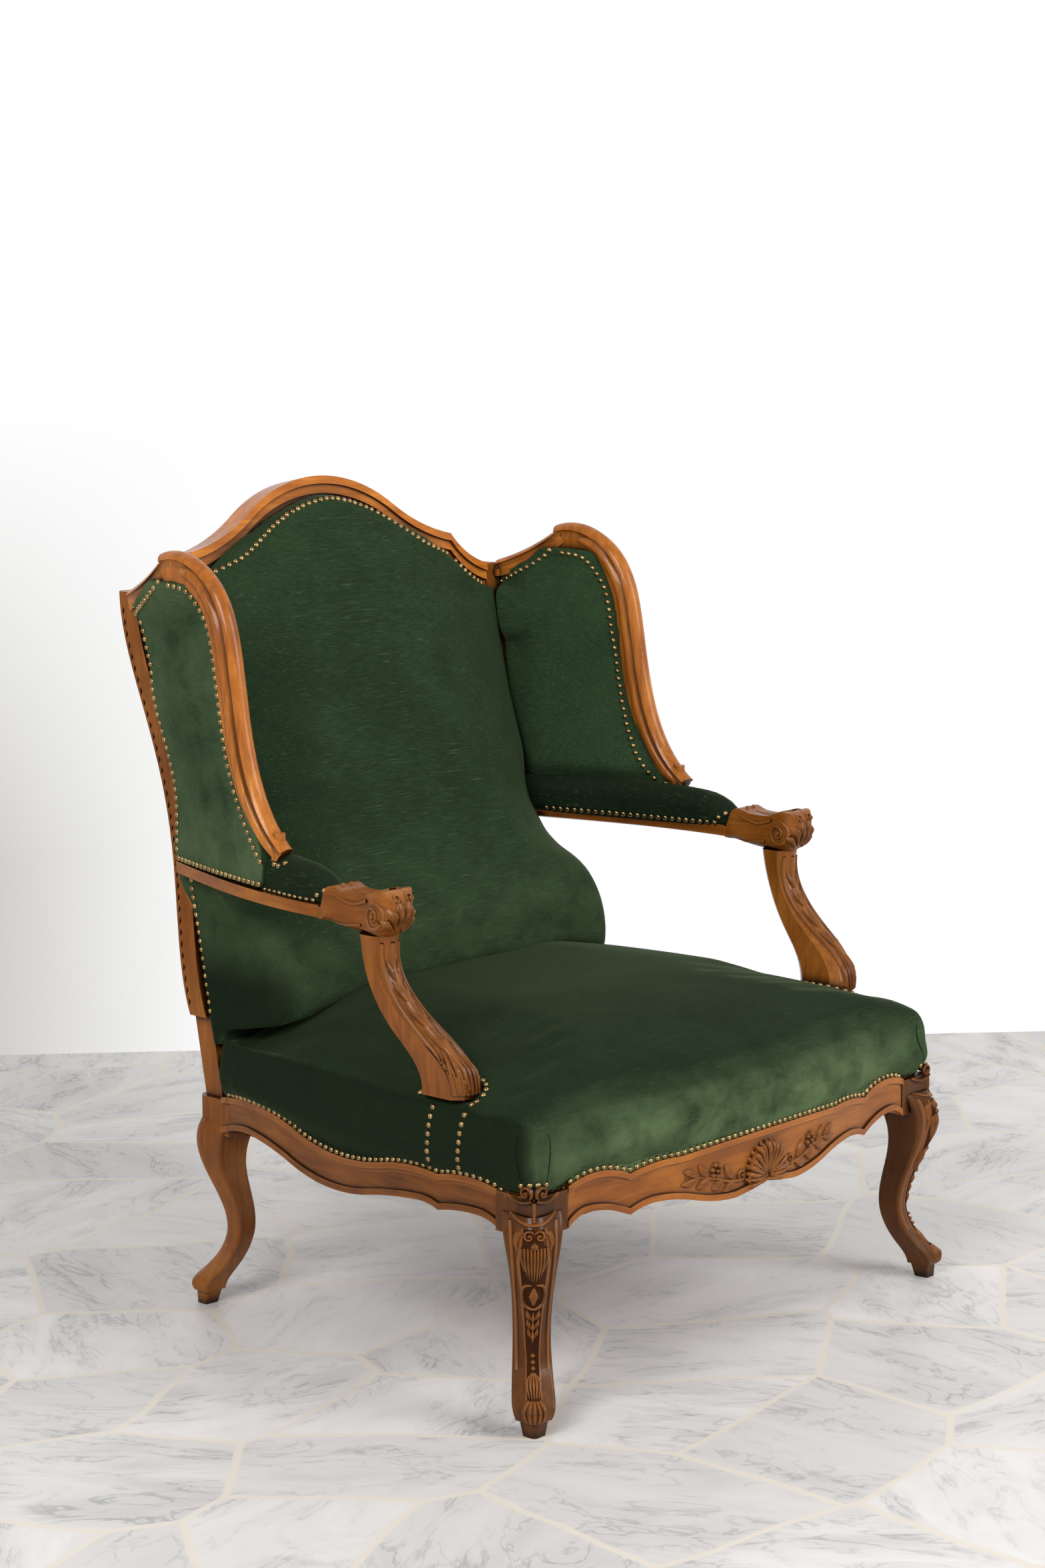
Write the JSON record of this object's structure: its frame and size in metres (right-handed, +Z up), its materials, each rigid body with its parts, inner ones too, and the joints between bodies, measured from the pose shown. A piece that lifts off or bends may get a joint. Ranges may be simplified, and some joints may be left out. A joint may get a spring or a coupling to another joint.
{
  "type": "winged armchair",
  "caption": "Carved winged armchair with open sides under the arms, cabriole legs, serpentine seat rails and a tight domed seat, for one person to sit in",
  "frame": {"origin": "on the floor under the middle of the chair's box", "axes": "X to the sitter's left, Y from the front of the seat to the back, Z up"},
  "size_m": [0.8556, 0.8293, 1.0816],
  "materials": {
    "stained_beech": "satin",
    "velvet": "pile",
    "lining": "matt",
    "jute": "coarse",
    "stuffing": "fibrous",
    "spring_steel": "drawn",
    "antique_brass": "aged"
  },
  "bodies": {
    "root": {"arm_pad_left": "velvet", "arm_pad_right": "velvet", "arm_rail_left": "stained_beech", "arm_rail_right": "stained_beech", "arm_support_left": "stained_beech", "arm_support_right": "stained_beech", "back_cover": "velvet", "back_stuffing": "stuffing", "back_webbing": "jute", "crest_rail": "stained_beech", "dust_cover": "lining", "front_leg_left": "stained_beech", "front_leg_right": "stained_beech", "front_seat_rail": "stained_beech", "lower_back_rail": "stained_beech", "outside_back_cover": "velvet", "rear_post_left": "stained_beech", "rear_post_right": "stained_beech", "rear_seat_rail": "stained_beech", "seat_cover": "velvet", "seat_springs": "spring_steel", "seat_stuffing": "stuffing", "seat_webbing": "jute", "side_seat_rail_left": "stained_beech", "side_seat_rail_right": "stained_beech", "spring_hessian": "jute", "wing_pad_left": "velvet", "wing_pad_right": "velvet", "wing_top_rail_left": "stained_beech", "wing_top_rail_right": "stained_beech", "wing_upright_left": "stained_beech", "wing_upright_right": "stained_beech"}
  },
  "joints": []
}
